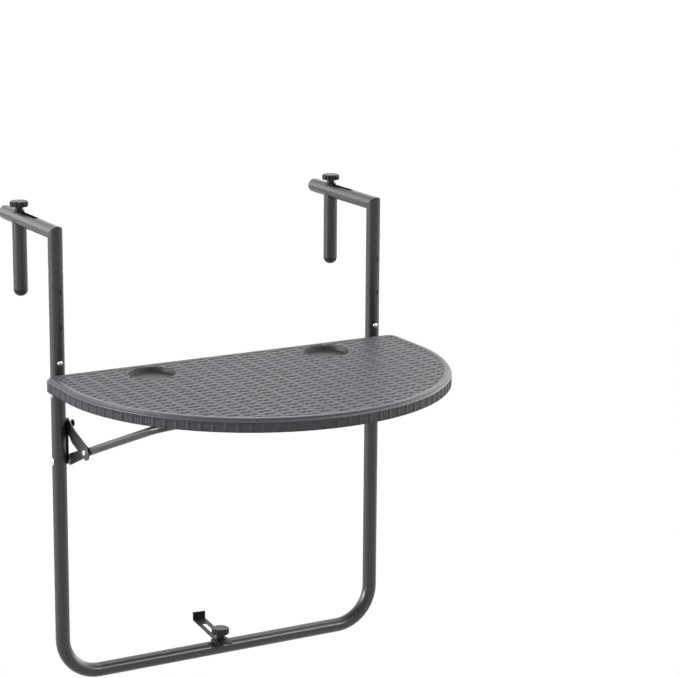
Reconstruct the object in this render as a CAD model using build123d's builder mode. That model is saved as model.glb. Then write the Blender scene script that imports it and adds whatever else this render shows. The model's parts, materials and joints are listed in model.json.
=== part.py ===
from build123d import *
import os
from math import asin, atan2, cos, degrees, radians, sin

os.makedirs("parts", exist_ok=True)

# Folding balcony table that hangs on a railing, drawn open. Millimetres and degrees.
# +Z is up and the front is -Y. The origin is the rail seat: midway between the two hooks,
# at the back of their posts and on the underside of their arms.

# Tubes of the frame and the hooks
tube_od = 22.0
tube_wall = 1.2
leg_spacing = 540.0
frame_bend_radius = 60.0

# Heights, each measured down from the seam between hook and leg
post_length = 58.0
seam_gap = 1.6
leg_length = 631.0
first_hole_drop = 29.5
hole_pitch = 53.5
hole_count = 3
height_hole_d = 8.5
hinge_drop = 184.5

# Heights measured from the table's hinge and from the brace's pivot
top_rise = 32.5
brace_pivot_drop = 104.5
catch_rise = 56.0

# Fits and clearances
fit = 0.05
sleeve_fit = 0.08
slide_gap = 0.3
face_gap = 0.1

# Hook arm and clamp
arm_reach = 178.0
slot_width = 9.0
slot_near_y = 57.5
slot_far_y = 136.5
clamp_rest_y = 126.0
clamp_drop = 110.0
plug_dome = 8.0
foot_dome = 10.6
nut_drop = 6.0
plug_depth = 12.0
screw_d = 8.0
washer_d = 17.0
washer_crown = 1.2
knob_d = 28.0
clamp_stem_d = 12.0
clamp_stem_height = 5.2
clamp_head_height = 8.4
flute_count = 12
flute_d = 5.2

# Telescopic sleeve, snap button and its leaf spring
sleeve_wall = 1.2
sleeve_up = 35.0
sleeve_below_button = 12.0
button_d = 7.6
button_out = 2.0
button_flange_d = 11.0
button_flange = 1.2
button_seat = 6.2
spring_width = 7.0
spring_thickness = 0.8
spring_rise = 34.0
spring_foot = 6.0

# Tabletop
table_width = 600.0
table_side = 90.0
table_thickness = 20.0
table_back_gap = 15.0
table_corner = 18.0
edge_inset = 3.5
edge_height = 3.6
top_edge_round = 1.2
band_round = 2.0
skin = 5.0
rim_wall = 6.0
lip_width = 8.0
lip_groove_width = 1.2
lip_groove_depth = 0.8
cup_d = 72.0
cup_depth = 8.0
cup_floor = 3.0
cup_spacing = 296.0
cup_from_back = 53.0
rib_pitch = 60.0
rib_thickness = 3.0
rib_rows = 5

# Hinge bracket
ear_gap = 0.4
ear_thickness = 1.8
ear_radius = 9.5
tail_reach = 17.0
tail_drop = 4.0
tail_radius = 5.0
flange_thickness = 2.5
flange_width = 25.0
flange_start = 14.0
flange_end = 60.0
flange_screw_reach = (28.0, 50.0)
flange_screw_inset = 15.0
screw_boss_d = 10.0
small_screw_d = 4.0
small_head_d = 8.0
small_head = 1.8

# Brace, latch and catch
brace_od = 12.0
brace_wall = 1.2
brace_length = 285.0
brace_half_width = 220.0
brace_bend_radius = 48.0
paddle_thickness = 3.0
paddle_height = 17.0
paddle_neck = 12.6
paddle_reach = 72.0
paddle_blend = 14.0
brace_straight = 14.0
latch_reach = 66.0
latch_thickness = 2.0
latch_root_radius = 11.5
latch_root_place = (-4.0, 3.5)
latch_belly_radius = 11.4
latch_belly_place = (42.0, -4.0)
latch_head_radius = 9.5
latch_head_place = (0.0, -0.5)
notch_clearance = 0.5
plate_thickness = 2.0
plate_width = 12.0
layer_gap = 0.5
paddle_gap = 0.4
pin_d = 6.0
pin_head_d = 11.0
pin_head = 2.0
bush_d = 10.0
stud_head_d = 11.0
stud_head = 2.5
stud_reach = 10.5
rivet_d = 5.0
rivet_head_d = 9.0
rivet_head = 1.6

# Stabiliser on the bottom bar
stabiliser_x = -1.6
stabiliser_yaw = 6.3
strip_length = 125.3
strip_width = 20.7
strip_thickness = 2.0
strip_front = 26.0
strip_slot_width = 8.0
strip_slot_end = 27.5
lip_height = 13.8
saddle_length = 28.0
saddle_width = 18.0
saddle_crown = 0.8
small_washer_d = 18.0
small_washer = 1.0
stabiliser_stem_d = 14.0
stabiliser_stem_height = 7.0
stabiliser_head_height = 9.5
stabiliser_screw_d = 6.0
insert_d = 9.0
insert_depth = 11.0

# Positions that follow from the sizes
tube_r = tube_od / 2
bore_r = tube_r - tube_wall
leg_x = leg_spacing / 2
leg_y = -tube_r
arm_z = tube_r
seam_z = arm_z - post_length
bar_z = seam_z - leg_length
bar_top_z = bar_z + tube_r
hinge_z = seam_z - hinge_drop
pivot_z = hinge_z - brace_pivot_drop
catch_z = pivot_z + catch_rise
inner_face = leg_x - tube_r
outer_face = leg_x + tube_r
hole_z = [seam_z - first_hole_drop - i * hole_pitch for i in range(hole_count)]
button_z = hole_z[-1]
table_top_z = hinge_z + top_rise
table_under_z = table_top_z - table_thickness
table_back_y = leg_y - table_back_gap
table_side_y = table_back_y - table_side
table_r = table_width / 2

# Layers inboard of each leg, as distances from the leg's inner face
latch_in = plate_thickness + layer_gap
paddle_in = latch_in + latch_thickness + paddle_gap
paddle_out = paddle_in + paddle_thickness
ear_out = ear_gap + ear_thickness

# The brace rises until its crossbar meets the underside of the table
brace_r = brace_od / 2
brace_rise = table_under_z - slide_gap - brace_r - pivot_z
brace_angle = degrees(asin(brace_rise / brace_length))
brace_dir_y = -cos(radians(brace_angle))
brace_dir_z = sin(radians(brace_angle))
latch_y = leg_y + latch_reach * brace_dir_y
latch_z = pivot_z + latch_reach * brace_dir_z
brace_turn = brace_angle + 90
latch_turn = 180 - degrees(atan2(catch_z - latch_z, leg_y - latch_y)) - brace_angle
print("brace angle", brace_angle, "brace turn", brace_turn, "latch turn on the brace", latch_turn)


def stud_seen_from_latch(fold):
    """Place of the catch stud against the latch at rest, after the table has folded by some degrees."""
    brace_now = radians(brace_angle - fold * brace_turn / 90)
    away_y = latch_reach * cos(brace_now)
    away_z = catch_z - (pivot_z + latch_reach * sin(brace_now))
    back = radians(-fold * (brace_turn + latch_turn) / 90)
    turned_y = away_y * cos(back) - away_z * sin(back)
    turned_z = away_y * sin(back) + away_z * cos(back)
    return latch_y + turned_y, latch_z + turned_z


def leg_plane(side, inboard):
    """Plane across X at a distance inboard of a leg's inner face, drawn in Y and Z."""
    return Plane.YZ.offset(side * (inner_face - inboard))


def rod_x(x_from, x_to, y, z, radius):
    """Round bar along X."""
    with Locations(Location(((x_from + x_to) / 2, y, z), (0, 90, 0))):
        Cylinder(radius, abs(x_to - x_from))


def head_x(x_base, direction, y, z, radius, height):
    """Bevelled rivet head that stands on a plane across X."""
    with Locations(Location((x_base, y, z), (0, 90 * direction, 0))):
        Cone(radius, 0.6 * radius, height, align=(Align.CENTER, Align.CENTER, Align.MIN))


def keep(builder, label):
    """Name a finished piece and write its file."""
    builder.part.label = label
    export_step(builder.part, f"parts/{label}.step")


sides = {"left": -1, "right": 1}

# Main frame: two legs and the bottom bar, one bent tube
with BuildPart() as main_frame:
    with BuildLine() as frame_path:
        FilletPolyline(
            (-leg_x, leg_y, seam_z),
            (-leg_x, leg_y, bar_z),
            (leg_x, leg_y, bar_z),
            (leg_x, leg_y, seam_z),
            radius=frame_bend_radius,
        )
    with BuildSketch(Plane(origin=(-leg_x, leg_y, seam_z), z_dir=(0, 0, -1))):
        Circle(tube_r)
        Circle(bore_r, mode=Mode.SUBTRACT)
    sweep(path=frame_path.wires()[0])
    with BuildSketch(Plane.XZ.offset(-leg_y)):
        with Locations(*[(x, z) for x in (-leg_x, leg_x) for z in hole_z]):
            Circle(height_hole_d / 2)
    extrude(amount=tube_od, mode=Mode.SUBTRACT)
    with BuildSketch(Plane.YZ):
        with Locations((leg_y, hinge_z), (leg_y, pivot_z)):
            Circle(pin_d / 2 + fit)
    extrude(amount=leg_x + tube_od, both=True, mode=Mode.SUBTRACT)
    with Locations((stabiliser_x, leg_y, bar_top_z)):
        Cylinder(insert_d / 2 + fit, tube_r, mode=Mode.SUBTRACT)
keep(main_frame, "main_frame")

# Hinge pins of the table, with a head outside each leg and one inside the bracket's ear
with BuildPart() as hinge_pins:
    for s in sides.values():
        pin_end = inner_face - ear_out - slide_gap
        rod_x(s * outer_face, s * pin_end, leg_y, hinge_z, pin_d / 2)
        head_x(s * outer_face, s, leg_y, hinge_z, pin_head_d / 2, pin_head)
        head_x(s * pin_end, -s, leg_y, hinge_z, bush_d / 2, pin_head)
keep(hinge_pins, "hinge_pins")

# Brace pins, with a bush that keeps the brace clear of the latch
with BuildPart() as brace_pins:
    for s in sides.values():
        pin_end = inner_face - paddle_out - slide_gap
        bush_end = inner_face - paddle_in + face_gap
        rod_x(s * outer_face, s * pin_end, leg_y, pivot_z, pin_d / 2)
        rod_x(s * (inner_face - plate_thickness), s * bush_end, leg_y, pivot_z, bush_d / 2)
        head_x(s * outer_face, s, leg_y, pivot_z, pin_head_d / 2, pin_head)
        head_x(s * pin_end, -s, leg_y, pivot_z, bush_d / 2, pin_head)
keep(brace_pins, "brace_pins")

# Catch plates on the inner side of the legs
for side, s in sides.items():
    with BuildPart() as catch_plate:
        with BuildSketch(leg_plane(s, 0)):
            with Locations((leg_y, (pivot_z + catch_z) / 2)):
                SlotCenterToCenter(catch_rise, plate_width, rotation=90)
            with Locations((leg_y, pivot_z), (leg_y, catch_z)):
                Circle(pin_d / 2 + fit, mode=Mode.SUBTRACT)
        extrude(amount=-s * plate_thickness)
    keep(catch_plate, f"{side}_catch_plate")

# Catch studs that the latches hook over
with BuildPart() as catch_studs:
    for s in sides.values():
        rod_x(s * inner_face, s * (inner_face - stud_reach), leg_y, catch_z, pin_d / 2)
        rod_x(
            s * (inner_face - stud_reach),
            s * (inner_face - stud_reach - stud_head),
            leg_y,
            catch_z,
            stud_head_d / 2,
        )
    fillet(catch_studs.edges().filter_by(GeomType.CIRCLE).group_by(SortBy.RADIUS)[-1], 0.8)
keep(catch_studs, "catch_studs")

# Hook tubes: post and arm, mitred at the corner, with the clamp's slot through the arm
for side, s in sides.items():
    with BuildPart() as hook_tube:
        with BuildLine() as hook_path:
            Polyline(
                (s * leg_x, leg_y, seam_z + seam_gap),
                (s * leg_x, leg_y, arm_z),
                (s * leg_x, arm_reach, arm_z),
            )
        with BuildSketch(Plane(origin=(s * leg_x, leg_y, seam_z + seam_gap), z_dir=(0, 0, 1))):
            Circle(tube_r)
            Circle(bore_r, mode=Mode.SUBTRACT)
        sweep(path=hook_path.wires()[0], transition=Transition.RIGHT)
        with BuildSketch(Plane.XY.offset(arm_z - tube_od)):
            with Locations((s * leg_x, (slot_near_y + slot_far_y) / 2)):
                SlotCenterToCenter(slot_far_y - slot_near_y, slot_width, rotation=90)
        extrude(amount=2 * tube_od, mode=Mode.SUBTRACT)
    keep(hook_tube, f"{side}_hook_tube")

# Domed plugs in the ends of the arms
for side, s in sides.items():
    with BuildPart() as arm_plug:
        with Locations(Location((s * leg_x, arm_reach - plug_depth, arm_z), (-90, 0, 0))):
            Cylinder(bore_r - fit, plug_depth, align=(Align.CENTER, Align.CENTER, Align.MIN))
        with Locations(Location((s * leg_x, arm_reach, arm_z), (-90, 0, 0))):
            Cylinder(tube_r, plug_dome, align=(Align.CENTER, Align.CENTER, Align.MIN))
        fillet(arm_plug.faces().sort_by(Axis.Y)[-1].edges(), plug_dome - 1)
    keep(arm_plug, f"{side}_arm_plug")

# Inner sleeves that join each post to its leg
sleeve_r = bore_r - sleeve_fit
sleeve_bottom_z = button_z - sleeve_below_button
button_hole_r = button_d / 2 + fit
for side, s in sides.items():
    with BuildPart() as inner_sleeve:
        with BuildSketch(Plane.XY.offset(sleeve_bottom_z)):
            with Locations((s * leg_x, leg_y)):
                Circle(sleeve_r)
                Circle(sleeve_r - sleeve_wall, mode=Mode.SUBTRACT)
        extrude(amount=seam_z + sleeve_up - sleeve_bottom_z)
        with BuildSketch(Plane.XZ.offset(-leg_y)):
            with Locations((s * leg_x, button_z)):
                Circle(button_hole_r)
        extrude(amount=tube_od, mode=Mode.SUBTRACT)
    keep(inner_sleeve, f"{side}_inner_sleeve")

# Snap buttons in the lowest height holes, with a flange inside the sleeve
button_back_y = leg_y - button_seat + button_flange
button_tip_y = leg_y - tube_r - button_out
for side, s in sides.items():
    with BuildPart() as snap_button:
        with BuildSketch(Plane.XZ.offset(-button_back_y)):
            with Locations((s * leg_x, button_z)):
                Circle(button_flange_d / 2)
        extrude(amount=button_flange)
        with BuildSketch(Plane.XZ.offset(-button_back_y)):
            with Locations((s * leg_x, button_z)):
                Circle(button_d / 2)
        extrude(amount=button_back_y - button_tip_y)
        fillet(snap_button.faces().sort_by(Axis.Y)[0].edges(), 0.45 * button_d)
    keep(snap_button, f"{side}_snap_button")

# Leaf springs behind the buttons, bent to a V inside the sleeve
leaf_front_y = button_back_y + spring_thickness / 2 + face_gap
leaf_back_y = leg_y + sleeve_r - sleeve_wall - 1.1 - spring_thickness / 2
for side, s in sides.items():
    with BuildPart() as button_spring:
        with BuildSketch(Plane.YZ.offset(s * leg_x)):
            with BuildLine():
                Polyline(
                    (leaf_front_y, button_z - spring_foot),
                    (leaf_front_y, button_z + spring_foot),
                    ((leaf_front_y + leaf_back_y) / 2, button_z + spring_rise),
                    (leaf_back_y, button_z + spring_foot),
                    (leaf_back_y, button_z - spring_foot),
                )
            trace(line_width=spring_thickness)
        extrude(amount=spring_width / 2, both=True)
    keep(button_spring, f"{side}_button_spring")

# Clamp posts: tubes under the arms, coped to sit round them
clamp_bottom_z = arm_z - clamp_drop
for side, s in sides.items():
    with BuildPart() as clamp_post:
        with BuildSketch(Plane.XY.offset(clamp_bottom_z)):
            with Locations((s * leg_x, clamp_rest_y)):
                Circle(tube_r)
                Circle(bore_r, mode=Mode.SUBTRACT)
        extrude(amount=clamp_drop)
        with Locations(Location((s * leg_x, clamp_rest_y, arm_z), (90, 0, 0))):
            Cylinder(tube_r + slide_gap, 2 * tube_od, mode=Mode.SUBTRACT)
    keep(clamp_post, f"{side}_clamp_post")

# Domed feet of the clamp posts
for side, s in sides.items():
    with BuildPart() as clamp_foot:
        with Locations((s * leg_x, clamp_rest_y, clamp_bottom_z)):
            Cylinder(bore_r - fit, plug_depth, align=(Align.CENTER, Align.CENTER, Align.MIN))
            Cylinder(tube_r, foot_dome, align=(Align.CENTER, Align.CENTER, Align.MAX))
        fillet(clamp_foot.faces().sort_by(Axis.Z)[0].edges(), foot_dome - 0.2)
    keep(clamp_foot, f"{side}_clamp_foot")

# Nuts inside the clamp posts
nut_top_z = -nut_drop
for side, s in sides.items():
    with BuildPart() as clamp_nut:
        with Locations((s * leg_x, clamp_rest_y, nut_top_z)):
            Cylinder(bore_r - fit, plug_depth, align=(Align.CENTER, Align.CENTER, Align.MAX))
            Cylinder(screw_d / 2 + fit, 4 * plug_depth, mode=Mode.SUBTRACT)
    keep(clamp_nut, f"{side}_clamp_nut")

# Saddle washers on the arms
washer_top_z = arm_z + tube_r + washer_crown
for side, s in sides.items():
    with BuildPart() as clamp_washer:
        with Locations((s * leg_x, clamp_rest_y, washer_top_z)):
            Cylinder(
                washer_d / 2,
                washer_crown + tube_r / 2,
                align=(Align.CENTER, Align.CENTER, Align.MAX),
            )
            Cylinder(screw_d / 2 + slide_gap, tube_od, mode=Mode.SUBTRACT)
        fillet(clamp_washer.faces().sort_by(Axis.Z)[-1].outer_wire().edges(), 1.0)
        with Locations(Location((s * leg_x, clamp_rest_y, arm_z), (90, 0, 0))):
            Cylinder(tube_r + slide_gap, 2 * tube_od, mode=Mode.SUBTRACT)
    keep(clamp_washer, f"{side}_clamp_washer")

# Clamp knobs: fluted head on a stem
clamp_stem_z = washer_top_z + face_gap
clamp_head_z = clamp_stem_z + clamp_stem_height
clamp_knob_top_z = clamp_head_z + clamp_head_height
clamp_screw_top_z = clamp_head_z + clamp_head_height / 2
for side, s in sides.items():
    with BuildPart() as clamp_knob:
        with BuildSketch(Plane.XY.offset(clamp_head_z)):
            with Locations((s * leg_x, clamp_rest_y)):
                Circle(knob_d / 2)
        extrude(amount=clamp_head_height)
        fillet(clamp_knob.faces().sort_by(Axis.Z)[-1].edges(), 2.5)
        fillet(clamp_knob.faces().sort_by(Axis.Z)[0].edges(), 1.0)
        with BuildSketch(Plane.XY.offset(clamp_head_z)):
            with Locations((s * leg_x, clamp_rest_y)):
                with PolarLocations(knob_d / 2 + flute_d / 6, flute_count):
                    Circle(flute_d / 2)
        extrude(amount=clamp_head_height, mode=Mode.SUBTRACT)
        with Locations((s * leg_x, clamp_rest_y, clamp_stem_z)):
            Cylinder(
                clamp_stem_d / 2,
                clamp_stem_height + 1,
                align=(Align.CENTER, Align.CENTER, Align.MIN),
            )
            Cylinder(
                screw_d / 2 + fit,
                clamp_screw_top_z - clamp_stem_z,
                align=(Align.CENTER, Align.CENTER, Align.MIN),
                mode=Mode.SUBTRACT,
            )
    keep(clamp_knob, f"{side}_clamp_knob")

# Clamp screws from the knob through the arm into the nut
clamp_screw_bottom_z = nut_top_z - plug_depth - 2
for side, s in sides.items():
    with BuildPart() as clamp_screw:
        with Locations((s * leg_x, clamp_rest_y, clamp_screw_bottom_z)):
            Cylinder(
                screw_d / 2,
                clamp_screw_top_z - clamp_screw_bottom_z,
                align=(Align.CENTER, Align.CENTER, Align.MIN),
            )
        chamfer(clamp_screw.faces().sort_by(Axis.Z)[0].edges(), 1.0)
    keep(clamp_screw, f"{side}_clamp_screw")

# Tabletop: hollow moulding with a set-back top edge, two cup recesses and ribs underneath
flange_screw_x = inner_face - flange_screw_inset
flange_screw_y = [leg_y - reach for reach in flange_screw_reach]
cup_y = table_back_y - cup_from_back
rib_x = [rib_pitch * i for i in range(-4, 5)]
rib_y = [table_back_y - rib_pitch * (i + 1) for i in range(rib_rows)]
with BuildSketch(Plane.XY) as table_outline:
    with BuildLine():
        Polyline(
            (-table_r, table_side_y),
            (-table_r, table_back_y),
            (table_r, table_back_y),
            (table_r, table_side_y),
        )
        ThreePointArc((table_r, table_side_y), (0, table_side_y - table_r), (-table_r, table_side_y))
    make_face()
    fillet(table_outline.vertices().group_by(Axis.Y)[-1], table_corner)
with BuildPart() as tabletop:
    with BuildSketch(Plane.XY.offset(table_under_z)):
        add(table_outline.sketch)
    extrude(amount=table_thickness - edge_height)
    fillet(tabletop.edges().group_by(Axis.Z)[-1], band_round)
    with BuildSketch(Plane.XY.offset(table_top_z - edge_height)):
        add(table_outline.sketch)
        offset(amount=-edge_inset, mode=Mode.REPLACE)
    extrude(amount=edge_height)
    fillet(tabletop.edges().group_by(Axis.Z)[-1], top_edge_round)
    with BuildSketch(Plane.XY.offset(table_under_z)):
        add(table_outline.sketch)
        offset(amount=-rim_wall, mode=Mode.REPLACE)
    extrude(amount=table_thickness - skin, mode=Mode.SUBTRACT)
    with BuildSketch(Plane.XY.offset(table_under_z)):
        with Locations(*[(x, table_back_y - table_r) for x in rib_x]):
            Rectangle(rib_thickness, 2 * table_r)
        with Locations(*[(0, y) for y in rib_y]):
            Rectangle(rib_x[-1] - rib_x[0], rib_thickness)
        with Locations(*[(s * flange_screw_x, y) for s in (-1, 1) for y in flange_screw_y]):
            Circle(screw_boss_d / 2)
        add(table_outline.sketch, mode=Mode.INTERSECT)
    extrude(amount=table_thickness - skin)
    with BuildSketch(Plane.XY.offset(table_top_z - cup_depth - cup_floor)):
        with Locations((-cup_spacing / 2, cup_y), (cup_spacing / 2, cup_y)):
            Circle(cup_d / 2 + cup_floor)
    extrude(amount=cup_depth + cup_floor - skin)
    with BuildSketch(Plane.XY.offset(table_top_z - cup_depth)):
        with Locations((-cup_spacing / 2, cup_y), (cup_spacing / 2, cup_y)):
            Circle(cup_d / 2)
    extrude(amount=cup_depth, mode=Mode.SUBTRACT)
    with BuildSketch(Plane.XY.offset(table_top_z)):
        add(table_outline.sketch)
        offset(amount=-edge_inset - lip_width, mode=Mode.REPLACE)
        offset(amount=-lip_groove_width, mode=Mode.SUBTRACT)
    extrude(amount=-lip_groove_depth, mode=Mode.SUBTRACT)
    with BuildSketch(Plane.XY.offset(table_under_z)):
        with Locations(*[(s * flange_screw_x, y) for s in (-1, 1) for y in flange_screw_y]):
            Circle(small_screw_d / 2 + fit)
    extrude(amount=table_thickness - skin, mode=Mode.SUBTRACT)
keep(tabletop, "tabletop")

# Hinge brackets: an ear round the hinge pin with a tail, and a flange under the tabletop
flange_z = table_under_z - flange_thickness
for side, s in sides.items():
    with BuildPart() as hinge_bracket:
        with BuildSketch(leg_plane(s, ear_gap)):
            with Locations((leg_y, hinge_z)):
                Circle(ear_radius)
            with Locations((leg_y + tail_reach, hinge_z - tail_drop)):
                Circle(tail_radius)
            make_hull()
            with BuildLine():
                Polyline(
                    (leg_y, hinge_z - ear_radius),
                    (leg_y, hinge_z + ear_radius),
                    (leg_y - flange_start, table_under_z),
                    (leg_y - flange_end, table_under_z),
                    (leg_y - flange_end, table_under_z - 1.6 * flange_thickness),
                    (leg_y - 0.6 * flange_end, table_under_z - 1.8 * flange_thickness),
                    (leg_y - 0.42 * flange_end, hinge_z + 0.1 * ear_radius),
                    close=True,
                )
            make_face()
            with Locations((leg_y, hinge_z)):
                Circle(pin_d / 2 + fit, mode=Mode.SUBTRACT)
        extrude(amount=-s * ear_thickness)
        with BuildSketch(Plane.XY.offset(flange_z)):
            with Locations(
                (s * (inner_face - (ear_gap + flange_width) / 2), leg_y - (flange_start + flange_end) / 2)
            ):
                Rectangle(flange_width - ear_gap, flange_end - flange_start)
            with Locations(*[(s * flange_screw_x, y) for y in flange_screw_y]):
                Circle(small_screw_d / 2 + fit, mode=Mode.SUBTRACT)
        extrude(amount=flange_thickness)
    keep(hinge_bracket, f"{side}_hinge_bracket")

# Screws that hold the brackets to the tabletop
with BuildPart() as bracket_screws:
    for s in sides.values():
        for y in flange_screw_y:
            with Locations((s * flange_screw_x, y, flange_z)):
                Cylinder(
                    small_screw_d / 2,
                    flange_thickness + table_thickness - skin - 2,
                    align=(Align.CENTER, Align.CENTER, Align.MIN),
                )
            with Locations(Location((s * flange_screw_x, y, flange_z), (180, 0, 0))):
                Cone(
                    small_head_d / 2,
                    0.6 * small_head_d / 2,
                    small_head,
                    align=(Align.CENTER, Align.CENTER, Align.MIN),
                )
keep(bracket_screws, "bracket_screws")

# Support brace: bent tube whose ends are pressed flat on their outer side
brace_plane = Plane(
    origin=(0, leg_y, pivot_z),
    x_dir=(1, 0, 0),
    z_dir=(0, -brace_dir_z, brace_dir_y),
)
brace_x = inner_face - paddle_in - brace_r
paddle_x = inner_face - paddle_in - paddle_thickness / 2
tube_start = paddle_reach + paddle_blend
with BuildPart() as support_brace:
    with BuildLine(brace_plane) as brace_path:
        FilletPolyline(
            (-brace_x, tube_start),
            (-brace_x, tube_start + brace_straight),
            (-brace_half_width, brace_length),
            (brace_half_width, brace_length),
            (brace_x, tube_start + brace_straight),
            (brace_x, tube_start),
            radius=brace_bend_radius,
        )
    brace_start = brace_plane.from_local_coords(Vector(-brace_x, tube_start, 0))
    with BuildSketch(Plane(origin=brace_start, x_dir=(1, 0, 0), z_dir=(0, brace_dir_y, brace_dir_z))):
        Circle(brace_r)
        Circle(brace_r - brace_wall, mode=Mode.SUBTRACT)
    sweep(path=brace_path.wires()[0])
    for s in sides.values():
        with BuildSketch(leg_plane(s, paddle_in)):
            with Locations((leg_y, pivot_z)):
                Circle(paddle_height / 2)
            with Locations((leg_y + paddle_reach * brace_dir_y, pivot_z + paddle_reach * brace_dir_z)):
                Circle(paddle_neck / 2)
            make_hull()
        extrude(amount=-s * paddle_thickness)
        flat_end = brace_plane.from_local_coords(Vector(s * paddle_x, paddle_reach, 0))
        round_end = brace_plane.from_local_coords(Vector(s * brace_x, tube_start, 0))
        with BuildSketch(Plane(origin=flat_end, x_dir=(1, 0, 0), z_dir=(0, brace_dir_y, brace_dir_z))):
            Ellipse(paddle_thickness / 2, paddle_neck / 2)
        with BuildSketch(Plane(origin=round_end, x_dir=(1, 0, 0), z_dir=(0, brace_dir_y, brace_dir_z))):
            Circle(brace_r)
        loft()
    with BuildSketch(Plane.YZ):
        with Locations((leg_y, pivot_z)):
            Circle(pin_d / 2 + fit)
        with Locations((latch_y, latch_z)):
            Circle(rivet_d / 2 + fit)
    extrude(amount=leg_x, both=True, mode=Mode.SUBTRACT)
keep(support_brace, "support_brace")

# Rivets that carry the latches on the brace
with BuildPart() as latch_rivets:
    for s in sides.values():
        outer_seat = inner_face - latch_in + layer_gap / 2
        inner_seat = inner_face - paddle_out - face_gap
        rod_x(s * outer_seat, s * inner_seat, latch_y, latch_z, rivet_d / 2)
        head_x(s * outer_seat, s, latch_y, latch_z, rivet_head_d / 2, rivet_head)
        head_x(s * inner_seat, -s, latch_y, latch_z, rivet_head_d / 2, rivet_head)
keep(latch_rivets, "latch_rivets")

# Latch plates, hooked over the catch studs; the notch follows the way the stud leaves
notch_r = pin_d / 2 + notch_clearance
leave_y, leave_z = stud_seen_from_latch(4.4)
notch_length = ((leave_y - leg_y) ** 2 + (leave_z - catch_z) ** 2) ** 0.5
notch_angle = degrees(atan2(leave_z - catch_z, leave_y - leg_y))
latch_span = ((latch_y - leg_y) ** 2 + (latch_z - catch_z) ** 2) ** 0.5


def on_latch(along, aside):
    """Place in Y and Z, along the line from rivet to stud and aside of it towards the table."""
    to_stud_y = (leg_y - latch_y) / latch_span
    to_stud_z = (catch_z - latch_z) / latch_span
    return latch_y + along * to_stud_y - aside * to_stud_z, latch_z + along * to_stud_z + aside * to_stud_y


latch_head_along, latch_head_aside = latch_head_place
for side, s in sides.items():
    with BuildPart() as latch_plate:
        with BuildSketch(leg_plane(s, latch_in)):
            with Locations(on_latch(*latch_root_place)):
                Circle(latch_root_radius)
            with Locations(on_latch(*latch_belly_place)):
                Circle(latch_belly_radius)
            make_hull()
        extrude(amount=-s * latch_thickness)
        with BuildSketch(leg_plane(s, latch_in)):
            with Locations(on_latch(*latch_belly_place)):
                Circle(latch_belly_radius)
            with Locations(on_latch(latch_span + latch_head_along, latch_head_aside)):
                Circle(latch_head_radius)
            make_hull()
        extrude(amount=-s * latch_thickness)
        with BuildSketch(leg_plane(s, latch_in)):
            with Locations(((leg_y + leave_y) / 2, (catch_z + leave_z) / 2)):
                SlotCenterToCenter(notch_length, 2 * notch_r, rotation=notch_angle)
            with Locations((latch_y, latch_z)):
                Circle(rivet_d / 2 + fit)
        extrude(amount=-s * latch_thickness, mode=Mode.SUBTRACT)
    keep(latch_plate, f"{side}_latch_plate")

# Saddle between the bottom bar and the stabiliser strip
saddle_top_z = bar_top_z + saddle_crown
with BuildPart() as stabiliser_saddle:
    with Locations((stabiliser_x, leg_y, saddle_top_z)):
        Box(
            saddle_length,
            saddle_width,
            saddle_crown + tube_r / 2,
            align=(Align.CENTER, Align.CENTER, Align.MAX),
        )
    fillet(stabiliser_saddle.edges().filter_by(Axis.Z), 3.0)
    with Locations((stabiliser_x, leg_y, saddle_top_z)):
        Cylinder(insert_d / 2 + fit, tube_r, mode=Mode.SUBTRACT)
    with Locations(Location((stabiliser_x, leg_y, bar_z), (0, 90, 0))):
        Cylinder(tube_r + fit, 2 * saddle_length, mode=Mode.SUBTRACT)
keep(stabiliser_saddle, "stabiliser_saddle")

# Threaded insert in the bottom bar
with BuildPart() as stabiliser_nut:
    with Locations((stabiliser_x, leg_y, bar_top_z)):
        Cylinder(insert_d / 2, insert_depth, align=(Align.CENTER, Align.CENTER, Align.MAX))
        Cylinder(stabiliser_screw_d / 2 + fit, 3 * insert_depth, mode=Mode.SUBTRACT)
keep(stabiliser_nut, "stabiliser_nut")

# Stabiliser strip: slotted, with an upturned end that rests on the balustrade
strip_z = saddle_top_z + face_gap
strip_back = strip_length - strip_front
strip_travel = strip_back - strip_slot_end
strip_plane = Plane(
    origin=(stabiliser_x, leg_y, strip_z),
    x_dir=(sin(radians(stabiliser_yaw)), cos(radians(stabiliser_yaw)), 0),
    z_dir=(0, 0, 1),
)
with BuildPart() as stabiliser_strip:
    with BuildSketch(strip_plane) as strip_outline:
        with Locations((strip_length / 2 - strip_front, 0)):
            RectangleRounded(strip_length, strip_width, 2.0)
        with Locations((strip_travel / 2, 0)):
            SlotCenterToCenter(strip_travel, strip_slot_width, mode=Mode.SUBTRACT)
    extrude(amount=strip_thickness)
    with BuildSketch(strip_plane):
        with Locations((strip_back - strip_thickness / 2, 0)):
            Rectangle(strip_thickness, strip_width)
    extrude(amount=lip_height)
keep(stabiliser_strip, "stabiliser_strip")

# Washer under the stabiliser knob
small_washer_z = strip_z + strip_thickness + face_gap
with BuildPart() as stabiliser_washer:
    with Locations((stabiliser_x, leg_y, small_washer_z)):
        Cylinder(small_washer_d / 2, small_washer, align=(Align.CENTER, Align.CENTER, Align.MIN))
        Cylinder(stabiliser_screw_d / 2 + slide_gap, 4 * small_washer, mode=Mode.SUBTRACT)
keep(stabiliser_washer, "stabiliser_washer")

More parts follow.
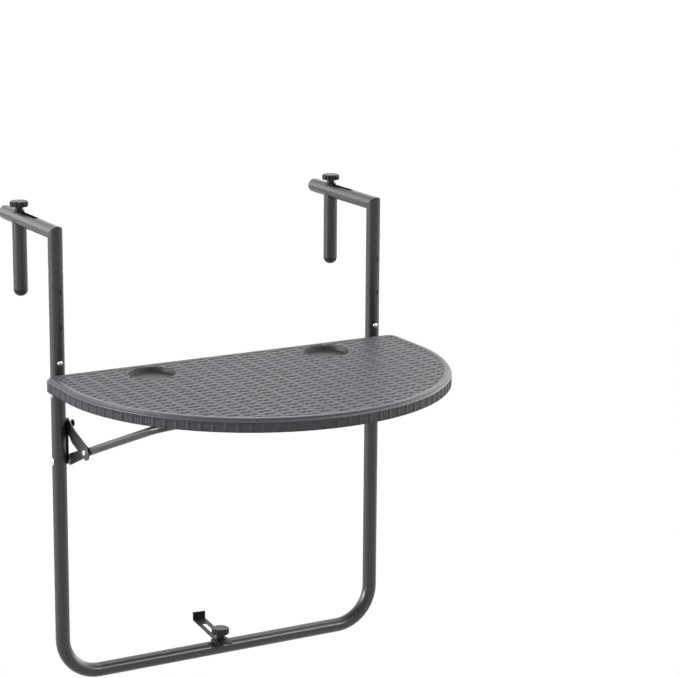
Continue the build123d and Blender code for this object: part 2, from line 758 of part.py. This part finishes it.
# Stabiliser knob: fluted head on a stem
stabiliser_stem_z = small_washer_z + small_washer + face_gap
stabiliser_head_z = stabiliser_stem_z + stabiliser_stem_height
stabiliser_screw_top_z = stabiliser_head_z + stabiliser_head_height / 2
with BuildPart() as stabiliser_knob:
    with BuildSketch(Plane.XY.offset(stabiliser_head_z)):
        with Locations((stabiliser_x, leg_y)):
            Circle(knob_d / 2)
    extrude(amount=stabiliser_head_height)
    fillet(stabiliser_knob.faces().sort_by(Axis.Z)[-1].edges(), 2.5)
    fillet(stabiliser_knob.faces().sort_by(Axis.Z)[0].edges(), 1.0)
    with BuildSketch(Plane.XY.offset(stabiliser_head_z)):
        with Locations((stabiliser_x, leg_y)):
            with PolarLocations(knob_d / 2 + flute_d / 6, flute_count):
                Circle(flute_d / 2)
    extrude(amount=stabiliser_head_height, mode=Mode.SUBTRACT)
    with Locations((stabiliser_x, leg_y, stabiliser_stem_z)):
        Cylinder(
            stabiliser_stem_d / 2,
            stabiliser_stem_height + 1,
            align=(Align.CENTER, Align.CENTER, Align.MIN),
        )
        Cylinder(
            stabiliser_screw_d / 2 + fit,
            stabiliser_screw_top_z - stabiliser_stem_z,
            align=(Align.CENTER, Align.CENTER, Align.MIN),
            mode=Mode.SUBTRACT,
        )
keep(stabiliser_knob, "stabiliser_knob")

# Stabiliser screw from the knob into the insert
stabiliser_screw_bottom_z = bar_top_z - insert_depth - 3
with BuildPart() as stabiliser_screw:
    with Locations((stabiliser_x, leg_y, stabiliser_screw_bottom_z)):
        Cylinder(
            stabiliser_screw_d / 2,
            stabiliser_screw_top_z - stabiliser_screw_bottom_z,
            align=(Align.CENTER, Align.CENTER, Align.MIN),
        )
    chamfer(stabiliser_screw.faces().sort_by(Axis.Z)[0].edges(), 0.8)
keep(stabiliser_screw, "stabiliser_screw")
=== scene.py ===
import json
import math

import bpy
import numpy as np
from mathutils import Matrix, Vector


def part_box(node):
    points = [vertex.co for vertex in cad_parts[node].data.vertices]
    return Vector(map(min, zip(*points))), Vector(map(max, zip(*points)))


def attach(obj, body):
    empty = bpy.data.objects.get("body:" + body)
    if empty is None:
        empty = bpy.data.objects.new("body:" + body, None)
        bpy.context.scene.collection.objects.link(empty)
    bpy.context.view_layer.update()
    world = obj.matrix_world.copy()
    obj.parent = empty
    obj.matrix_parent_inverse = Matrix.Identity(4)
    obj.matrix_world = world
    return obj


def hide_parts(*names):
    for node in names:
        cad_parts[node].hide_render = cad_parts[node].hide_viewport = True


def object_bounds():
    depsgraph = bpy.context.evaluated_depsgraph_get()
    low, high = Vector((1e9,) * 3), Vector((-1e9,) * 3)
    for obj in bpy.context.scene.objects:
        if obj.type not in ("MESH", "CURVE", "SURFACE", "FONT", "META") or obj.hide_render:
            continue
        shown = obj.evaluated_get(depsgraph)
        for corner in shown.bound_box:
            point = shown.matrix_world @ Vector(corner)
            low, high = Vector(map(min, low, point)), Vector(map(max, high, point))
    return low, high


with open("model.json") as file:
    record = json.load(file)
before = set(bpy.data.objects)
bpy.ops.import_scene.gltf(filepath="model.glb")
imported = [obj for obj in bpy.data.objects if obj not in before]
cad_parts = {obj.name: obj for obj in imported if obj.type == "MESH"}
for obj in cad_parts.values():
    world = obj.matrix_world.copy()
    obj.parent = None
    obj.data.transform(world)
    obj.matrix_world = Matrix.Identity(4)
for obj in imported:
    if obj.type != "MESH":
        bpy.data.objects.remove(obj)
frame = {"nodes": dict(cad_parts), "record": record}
cad_low, cad_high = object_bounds()
nodes = frame["nodes"]
MM = 0.001

# The tabletop in millimetres, from the solids and the record
top_low, top_high = (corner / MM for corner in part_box("tabletop"))
HALF_WIDTH = top_high.x
TOP_Z = top_high.z
UNDER_Z = top_low.z
BACK_Y = top_high.y
SIDE_Y = top_low.y + HALF_WIDTH
CORNER = 18.0
seats = {mount["name"]: mount["pos_m"] for mount in frame["record"]["mounts"]}
CUP_X, CUP_Y, CUP_FLOOR_Z = (value / MM for value in seats["right_cup_seat"])
CUP_R = 36.0

# The tabletop's outline: back, corner, side, front arc, side, corner
BACK_LENGTH = 2 * (HALF_WIDTH - CORNER)
BEND_LENGTH = CORNER * math.pi / 2
SIDE_LENGTH = BACK_Y - SIDE_Y - CORNER
ARC_LENGTH = math.pi * HALF_WIDTH
RIM_LENGTH = BACK_LENGTH + 2 * BEND_LENGTH + 2 * SIDE_LENGTH + ARC_LENGTH

# The plain lip and the band under it; the band's top is rounded into a ledge
EDGE_INSET = 3.5
EDGE_HEIGHT = 3.6
EDGE_ROUND = 1.2
EDGE_FOOT = 0.8
BAND_ROUND = 2.0
BAND_Z = TOP_Z - EDGE_HEIGHT
LIP = EDGE_INSET + 8.0
ROUND_STEPS = 6
# Lip's inner slope: place across from LIP, drop below the top
LIP_SLOPE = ((-0.6, 0.1), (-0.1, 0.5), (0.2, 1.3), (0.25, 3.0))
# Band's foot: inset, height above the underside, share of the panels' depth
BAND_FOOT = ((1.0, 0.05, 0.0), (0.25, 0.4, 1.0), (0.0, 1.4, 1.0))
PANEL_END = 0.4

# Ribs of the band, with sunk panels between them and fine lines in the panels
RIB_PITCH = 17.8
PANEL_DEPTH = 0.9
# Flank of a rib: distance from the rib's middle, depth
RIB_FLANK = ((0.0, 0.0), (0.5, 0.1), (1.0, 0.6), (1.5, PANEL_DEPTH))
LINE_PLACES = (4.6, 8.9, 13.2)
LINE_HALF = 0.3
LINE_DEPTH = 1.1

# The moulded weave: strips along X that dip under every other stake; drops are below the lip
STAKE_PITCH = 25.6
STAKE_HALF = 2.4
STAKE_DROP = 2.6
STAKE_CROWN = 0.4
GAP_DROP = 4.0
ROW_PITCH = 7.5
STRIP_DROP = 0.25
CROWN = 0.5
DIP_DEPTH = 3.1
DIP_HALF = 9.5
DIP_POWER = 3
# Grid lines of the weave, gathered where its height changes
STAKE_PLACES = [place / STAKE_PITCH for place in (
    0, 1.4, 2.2, 2.4, 4.4, 6.0, 7.4, 8.6, 9.8, 11.2,
    12.8, 14.4, 15.8, 17.0, 18.2, 19.6, 21.2, 23.2, 23.4, 24.2,
)]
ROW_PLACES = (0.03, 0.12, 0.3, 0.5, 0.7, 0.88, 0.97)
# The weave's margin runs on under the lip and the cups' rings, lowered to clear them
UNDER_LIP = 4.5
CLEAR_LIP = 0.8
UNDER_RING = 0.2
CLEAR_RING = 2.2
MARGIN_DROP = 1.2

# A cup's ring: place out from CUP_R, drop below the top
CUP_RING = ((3.2, 2.4), (2.6, 0.9), (1.9, 0.5), (1.1, 0.4), (0.4, 0.6), (0.0, 1.2))
# A cup's foot: place in from CUP_R, height above the cup's floor
CUP_FOOT = ((0.0, 1.4), (0.5, 0.4), (1.6, 0.0), (12.0, 0.0))
CUP_MIDDLE = 1.0
CUP_TURNS = 96

# What the underside leaves out of the solid
UPWARD = 0.05
UPRIGHT = 0.5
TOP_SKIN = 1.5
EDGE_MARGIN = 1.0
CUP_MARGIN = 0.3


# Materials

NOISE_LOW, NOISE_HIGH = 0.3, 0.7
COAT_ROUGHNESS = 0.16
BROAD_GRAIN = 6
BROAD_DETAIL = 4.0
FINE_DETAIL = 2.0


def new_material(name):
    """An empty node material: its tree, shader and object coordinates."""
    material = bpy.data.materials.new(name)
    material.use_nodes = True
    tree = material.node_tree
    tree.nodes.clear()
    output = tree.nodes.new("ShaderNodeOutputMaterial")
    shader = tree.nodes.new("ShaderNodeBsdfPrincipled")
    tree.links.new(shader.outputs["BSDF"], output.inputs["Surface"])
    place = tree.nodes.new("ShaderNodeTexCoord")
    return material, tree, shader, place.outputs["Object"]


def noise(tree, place, scale, detail):
    """A noise value between 0 and 1 over the object's own coordinates."""
    node = tree.nodes.new("ShaderNodeTexNoise")
    node.inputs["Scale"].default_value = scale
    node.inputs["Detail"].default_value = detail
    tree.links.new(place, node.inputs["Vector"])
    return node.outputs["Fac"]


def shade(tree, value, dark, light):
    """Colours from dark to light along a noise value."""
    node = tree.nodes.new("ShaderNodeValToRGB")
    stops = ((NOISE_LOW, dark), (NOISE_HIGH, light))
    for element, (position, colour) in zip(node.color_ramp.elements, stops):
        element.position = position
        element.color = (*colour, 1.0)
    tree.links.new(value, node.inputs["Fac"])
    return node.outputs["Color"]


def spread(tree, value, low, high):
    """A noise value stretched to low and high."""
    node = tree.nodes.new("ShaderNodeMapRange")
    node.inputs["From Min"].default_value = NOISE_LOW
    node.inputs["From Max"].default_value = NOISE_HIGH
    node.inputs["To Min"].default_value = low
    node.inputs["To Max"].default_value = high
    tree.links.new(value, node.inputs["Value"])
    return node.outputs["Result"]


def bump(tree, shader, height, strength, distance):
    """Fine relief from a height value."""
    node = tree.nodes.new("ShaderNodeBump")
    node.inputs["Strength"].default_value = strength
    node.inputs["Distance"].default_value = distance
    tree.links.new(height, node.inputs["Height"])
    tree.links.new(node.outputs["Normal"], shader.inputs["Normal"])


def speckled(name, dark, light, rough, grain, relief, relief_mm, metallic=0.0, specular=0.5, coat=0.0):
    """A coloured surface with fine grain in its colour, gloss and relief."""
    material, tree, shader, place = new_material(name)
    broad = noise(tree, place, grain / BROAD_GRAIN, BROAD_DETAIL)
    fine = noise(tree, place, grain, FINE_DETAIL)
    tree.links.new(shade(tree, broad, dark, light), shader.inputs["Base Color"])
    tree.links.new(spread(tree, fine, *rough), shader.inputs["Roughness"])
    shader.inputs["Metallic"].default_value = metallic
    shader.inputs["Specular IOR Level"].default_value = specular
    shader.inputs["Coat Weight"].default_value = coat
    shader.inputs["Coat Roughness"].default_value = COAT_ROUGHNESS
    bump(tree, shader, fine, relief, relief_mm * MM)
    return material


powder_coat = speckled(
    "powder_coat", dark=(0.010, 0.010, 0.0095), light=(0.014, 0.014, 0.0135),
    rough=(0.36, 0.44), grain=900, relief=0.2, relief_mm=0.04, specular=0.45, coat=0.3,
)
black_coat = speckled(
    "black_coat", dark=(0.006, 0.006, 0.006), light=(0.010, 0.010, 0.010),
    rough=(0.40, 0.50), grain=900, relief=0.2, relief_mm=0.04, specular=0.18,
)
moulded_grey = speckled(
    "moulded_grey", dark=(0.040, 0.041, 0.049), light=(0.050, 0.051, 0.060),
    rough=(0.36, 0.46), grain=700, relief=0.15, relief_mm=0.05, specular=0.5,
)
# A darker copy of the moulded grey: painted shade for the ribbed band's side and the cups' recesses
painted_shade_grey = speckled(
    "painted_shade_grey", dark=(0.028, 0.028, 0.033), light=(0.036, 0.036, 0.042),
    rough=(0.40, 0.50), grain=700, relief=0.15, relief_mm=0.05, specular=0.3,
)
black_plastic = speckled(
    "black_plastic", dark=(0.006, 0.006, 0.007), light=(0.012, 0.012, 0.013),
    rough=(0.32, 0.44), grain=800, relief=0.25, relief_mm=0.05, specular=0.3,
)
bright_steel = speckled(
    "bright_steel", dark=(0.62, 0.62, 0.63), light=(0.78, 0.78, 0.79),
    rough=(0.22, 0.36), grain=1100, relief=0.1, relief_mm=0.02, metallic=1.0,
)
finish = {
    "powder_coat": powder_coat,
    "black_coat": black_coat,
    "tabletop_plastic": moulded_grey,
    "black_plastic": black_plastic,
    "bright_steel": bright_steel,
}
for entry in frame["record"]["subparts"]:
    mesh = nodes[entry["node"]].data
    mesh.materials.clear()
    mesh.materials.append(finish[entry["material_slot"]])


# Shapes of the tabletop

def to_edge(x, y):
    """Distance in from the tabletop's outline, in millimetres; negative outside."""
    front = HALF_WIDTH - np.hypot(x, y - SIDE_Y)
    side = HALF_WIDTH - np.abs(x)
    back = BACK_Y - y
    corner = CORNER - np.hypot(CORNER - side, CORNER - back)
    rear = np.where((side < CORNER) & (back < CORNER), corner, np.minimum(side, back))
    return np.where(y < SIDE_Y, front, rear)


def add_piece(name, points, faces, material, smooth=True):
    """A mesh of the table body, from points in millimetres."""
    mesh = bpy.data.meshes.new(name)
    mesh.from_pydata((np.asarray(points) * MM).tolist(), [], faces)
    mesh.validate()
    mesh.polygons.foreach_set("use_smooth", [smooth] * len(mesh.polygons))
    mesh.materials.append(material)
    mesh.update()
    piece = bpy.data.objects.new(name, mesh)
    bpy.context.scene.collection.objects.link(piece)
    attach(piece, "table")
    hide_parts("tabletop")


def ring_faces(rows, columns):
    """Quads between successive rings of points."""
    faces = []
    for i in range(rows - 1):
        for j in range(columns):
            k = (j + 1) % columns
            lower, upper = i * columns, (i + 1) * columns
            faces.append((lower + j, lower + k, upper + k, upper + j))
    return faces


def weave_height(x, y):
    """Height of the weave against the lip: crowned strips over and under the stakes."""
    row = np.floor((BACK_Y - y) / ROW_PITCH)
    across = (BACK_Y - y) / ROW_PITCH - row - 0.5
    stake = np.round(x / STAKE_PITCH)
    beside = x - stake * STAKE_PITCH
    under = (stake + row) % 2
    dip = DIP_DEPTH * under * np.exp(-np.abs(beside / DIP_HALF) ** DIP_POWER)
    strip = -STRIP_DROP - dip - CROWN * (2 * across) ** 2
    bar = -STAKE_DROP + STAKE_CROWN * np.sqrt(np.clip(1 - (beside / STAKE_HALF) ** 2, 0, 1))
    bar = np.where(np.abs(beside) < STAKE_HALF, bar, -GAP_DROP)
    return np.maximum(strip, bar)


def weave_lines(low, high, pitch, places):
    """Grid lines between low and high, at the same places within each pitch."""
    first = math.floor(low / pitch) - 1
    last = math.ceil(high / pitch) + 1
    lines = [(i + p) * pitch for i in range(first, last) for p in places]
    return np.array([v for v in sorted(lines) if low <= v <= high])


def build_weave():
    """The woven top inside the lip and round the cups."""
    xs = weave_lines(-HALF_WIDTH, HALF_WIDTH, STAKE_PITCH, STAKE_PLACES)
    ys = BACK_Y - weave_lines(0.0, BACK_Y - (SIDE_Y - HALF_WIDTH), ROW_PITCH, ROW_PLACES)
    x, y = np.meshgrid(xs, ys)
    z = TOP_Z + weave_height(x, y)
    cup = np.hypot(np.abs(x) - CUP_X, y - CUP_Y)
    inside = to_edge(x, y)
    kept = (inside > LIP - UNDER_LIP) & (cup > CUP_R + UNDER_RING)
    margin = (inside < LIP - CLEAR_LIP) | (cup < CUP_R + CLEAR_RING)
    z = np.where(margin, np.minimum(z, TOP_Z - MARGIN_DROP), z)
    cell = kept[:-1, :-1] & kept[1:, :-1] & kept[:-1, 1:] & kept[1:, 1:]
    used = np.zeros(x.shape, bool)
    near, far = slice(None, -1), slice(1, None)
    for corner in ((near, near), (far, near), (near, far), (far, far)):
        used[corner] |= cell
    index = -np.ones(x.shape, int)
    index[used] = np.arange(used.sum())
    points = np.c_[x[used], y[used], z[used]]
    i, j = np.nonzero(cell)
    faces = np.c_[index[i, j], index[i + 1, j], index[i + 1, j + 1], index[i, j + 1]]
    add_piece("woven_top", points, faces.tolist(), moulded_grey)


def on_bend(centre_x, centre_y, radius, angle):
    """Point on a bend of the outline and its inward direction."""
    c, s = math.cos(angle), math.sin(angle)
    return (centre_x + radius * c, centre_y + radius * s), (-c, -s)


def outline_at(distance):
    """Point on the outline and its inward direction, by distance along it from the back left corner."""
    bend_x, bend_y = HALF_WIDTH - CORNER, BACK_Y - CORNER
    if distance < BACK_LENGTH:
        return (-bend_x + distance, BACK_Y), (0.0, -1.0)
    distance -= BACK_LENGTH
    if distance < BEND_LENGTH:
        return on_bend(bend_x, bend_y, CORNER, math.pi / 2 - distance / CORNER)
    distance -= BEND_LENGTH
    if distance < SIDE_LENGTH:
        return (HALF_WIDTH, bend_y - distance), (-1.0, 0.0)
    distance -= SIDE_LENGTH
    if distance < ARC_LENGTH:
        return on_bend(0.0, SIDE_Y, HALF_WIDTH, -distance / HALF_WIDTH)
    distance -= ARC_LENGTH
    if distance < SIDE_LENGTH:
        return (-HALF_WIDTH, SIDE_Y + distance), (1.0, 0.0)
    distance -= SIDE_LENGTH
    return on_bend(-bend_x, bend_y, CORNER, math.pi - distance / CORNER)


def quarter_round(inset, top_z, radius):
    """Profile of a rounded upper edge, from its upright side to its level top."""
    angles = np.linspace(0, math.pi / 2, ROUND_STEPS)
    return [
        (inset + radius * (1 - math.cos(a)), top_z - radius * (1 - math.sin(a)), 0.0)
        for a in angles
    ]


def build_rim():
    """The ribbed band and the plain lip, profiles of (inset, height, share of the panels' depth)."""
    count = round(RIM_LENGTH / RIB_PITCH)
    pitch = RIM_LENGTH / count
    lines = [
        (place + offset, LINE_DEPTH if offset == 0 else PANEL_DEPTH)
        for place in LINE_PLACES for offset in (-LINE_HALF, 0, LINE_HALF)
    ]
    flank_back = [(RIB_PITCH - s, depth) for s, depth in reversed(RIB_FLANK[1:])]
    steps = [*RIB_FLANK, *lines, *flank_back]
    around = [(i * pitch + s * pitch / RIB_PITCH, depth) for i in range(count) for s, depth in steps]
    band = [
        *((inset, UNDER_Z + height, share) for inset, height, share in BAND_FOOT),
        (0.0, (UNDER_Z + BAND_Z) / 2, 1.0),
        (0.0, BAND_Z - BAND_ROUND - PANEL_END, 1.0),
        (0.0, BAND_Z - BAND_ROUND, 0.0),
    ]
    lip = [
        *quarter_round(0.0, BAND_Z, BAND_ROUND),
        (EDGE_INSET, BAND_Z, 0.0),
        (EDGE_INSET, BAND_Z + EDGE_FOOT, 0.0),
        *quarter_round(EDGE_INSET, TOP_Z, EDGE_ROUND),
        *((LIP + across, TOP_Z - drop, 0.0) for across, drop in LIP_SLOPE),
    ]
    # The ribbed band takes the darker copy of the grey, painted shade on its side
    for name, profile, material in (("ribbed_band", band, painted_shade_grey), ("plain_lip", lip, moulded_grey)):
        points = []
        for inset, z, share in profile:
            for distance, depth in around:
                (x, y), (nx, ny) = outline_at(distance)
                d = inset + share * depth
                points.append((x + nx * d, y + ny * d, min(z, TOP_Z)))
        add_piece(name, points, ring_faces(len(profile), len(around)), material)


def build_cup(name, centre_x):
    """A cup recess with its lowered ring."""
    profile = [
        *((CUP_R + out, TOP_Z - drop) for out, drop in CUP_RING),
        *((CUP_R - inward, CUP_FLOOR_Z + height) for inward, height in CUP_FOOT),
        (CUP_MIDDLE, CUP_FLOOR_Z),
    ]
    points = []
    for radius, z in profile:
        for k in range(CUP_TURNS):
            a = 2 * math.pi * k / CUP_TURNS
            points.append((centre_x + radius * math.cos(a), CUP_Y + radius * math.sin(a), z))
    faces = ring_faces(len(profile), CUP_TURNS)
    first = (len(profile) - 1) * CUP_TURNS
    faces.append(tuple(range(first, first + CUP_TURNS)))
    # The cup takes the darker copy of the grey, painted shade in its recess
    add_piece(name, points, faces, painted_shade_grey)


def build_underside():
    """The solid's own underside, without its top, edge and cups, which the other pieces stand for."""
    source = nodes["tabletop"].data
    corners = np.zeros(len(source.vertices) * 3)
    source.vertices.foreach_get("co", corners)
    corners = corners.reshape(-1, 3) / MM
    faces = []
    for polygon in source.polygons:
        x, y, z = polygon.center / MM
        if polygon.normal.z > UPWARD or z > TOP_Z - TOP_SKIN:
            continue
        upright = abs(polygon.normal.z) < UPRIGHT
        if upright and to_edge(np.array(x), np.array(y)) < EDGE_INSET + EDGE_MARGIN:
            continue
        in_cup = math.hypot(abs(x) - CUP_X, y - CUP_Y) < CUP_R + CUP_MARGIN and z > CUP_FLOOR_Z
        if upright and in_cup:
            continue
        faces.append(tuple(polygon.vertices))
    used = sorted({v for face in faces for v in face})
    place = {v: i for i, v in enumerate(used)}
    faces = [tuple(place[v] for v in face) for face in faces]
    add_piece("ribbed_underside", corners[used], faces, moulded_grey, smooth=False)


build_weave()
build_rim()
build_cup("left_cup", -CUP_X)
build_cup("right_cup", CUP_X)
build_underside()


# Floor: the table hangs on a rail, so the floor lies below its bar
FLOOR_REACH = 40.0
FLOOR_DROP = 0.25
floor_z = cad_low.z - FLOOR_DROP
floor_mesh = bpy.data.meshes.new("floor")
floor_mesh.from_pydata(
    [
        (-FLOOR_REACH, -FLOOR_REACH, floor_z), (FLOOR_REACH, -FLOOR_REACH, floor_z),
        (FLOOR_REACH, FLOOR_REACH, floor_z), (-FLOOR_REACH, FLOOR_REACH, floor_z),
    ],
    [], [(0, 1, 2, 3)],
)
floor = bpy.data.objects.new("floor", floor_mesh)
bpy.context.scene.collection.objects.link(floor)
floor_mesh.materials.append(speckled(
    "pale_floor", dark=(0.558, 0.558, 0.558), light=(0.566, 0.566, 0.566),
    rough=(0.8, 0.9), grain=3, relief=0.0, relief_mm=0.0, specular=0.0,
))

# Soft light from overhead, from both sides and from behind: direction, narrowness, gain
LIGHTS = (
    ((0.0, 0.0, 1.0), 1.0, 1.0),
    ((-0.48, 0.86, 0.14), 10.0, 3.0),
    ((-0.97, 0.22, 0.10), 30.0, 28.0),
    ((0.50, 0.85, 0.20), 10.0, 1.5),
    ((0.995, 0.0, 0.12), 6.0, 6.5),
    # Two small lamps for the streaks on the bottom bar
    ((0.46, -0.75, 0.47), 200.0, 30.0),
    ((0.46, 0.14, 0.87), 150.0, 12.0),
)
AMBIENT = 0.10

world = bpy.data.worlds.new("studio")
bpy.context.scene.world = world
world.use_nodes = True
tree = world.node_tree
sky = tree.nodes["Background"]
sky.inputs["Color"].default_value = (1.0, 1.0, 1.0, 1.0)
toward = tree.nodes.new("ShaderNodeTexCoord").outputs["Generated"]


def math_node(operation, a, b):
    """A sky value and a number or another sky value put together."""
    node = tree.nodes.new("ShaderNodeMath")
    node.operation = operation
    tree.links.new(a, node.inputs[0])
    if isinstance(b, float):
        node.inputs[1].default_value = b
    else:
        tree.links.new(b, node.inputs[1])
    return node.outputs[0]


def light_from(direction, narrowness, gain):
    """Light that falls off away from a direction."""
    dot = tree.nodes.new("ShaderNodeVectorMath")
    dot.operation = "DOT_PRODUCT"
    dot.inputs[1].default_value = Vector(direction).normalized()
    tree.links.new(toward, dot.inputs[0])
    facing = math_node("MAXIMUM", dot.outputs["Value"], 0.0)
    return math_node("MULTIPLY", math_node("POWER", facing, narrowness), gain)


total = light_from(*LIGHTS[0])
for light in LIGHTS[1:]:
    total = math_node("ADD", total, light_from(*light))
tree.links.new(math_node("ADD", total, AMBIENT), sky.inputs["Strength"])

# The photograph's view: a camera fitted to the frame's tubes in it
PHOTO_WIDTH, PHOTO_HEIGHT = 680, 678
FOCAL_PIXELS = 2443.0
SENSOR_WIDTH = 36.0
AIM = Vector((0.0, -0.011, -0.289))
AIM_PIXEL = (220.4, 408.652)
AIM_DEPTH = 3.776
TURN, TILT, ROLL = (math.radians(angle) for angle in (29.648, 13.305, -0.448))

forward = Vector((math.sin(TURN) * math.cos(TILT), math.cos(TURN) * math.cos(TILT), -math.sin(TILT)))
level_right = Vector((math.cos(TURN), -math.sin(TURN), 0.0))
level_down = forward.cross(level_right)
right = math.cos(ROLL) * level_right + math.sin(ROLL) * level_down
down = -math.sin(ROLL) * level_right + math.cos(ROLL) * level_down
aim_right = (AIM_PIXEL[0] - PHOTO_WIDTH / 2) / FOCAL_PIXELS * AIM_DEPTH
aim_down = (AIM_PIXEL[1] - PHOTO_HEIGHT / 2) / FOCAL_PIXELS * AIM_DEPTH
eye = AIM - (aim_right * right + aim_down * down + AIM_DEPTH * forward)
camera_data = bpy.data.cameras.new("camera")
camera_data.sensor_width = SENSOR_WIDTH
camera_data.lens = FOCAL_PIXELS * SENSOR_WIDTH / PHOTO_WIDTH
camera = bpy.data.objects.new("camera", camera_data)
camera.matrix_world = Matrix((
    (right.x, -down.x, -forward.x, eye.x),
    (right.y, -down.y, -forward.y, eye.y),
    (right.z, -down.z, -forward.z, eye.z),
    (0, 0, 0, 1),
))
bpy.context.scene.collection.objects.link(camera)
bpy.context.scene.camera = camera
bpy.context.scene.view_settings.view_transform = "Standard"
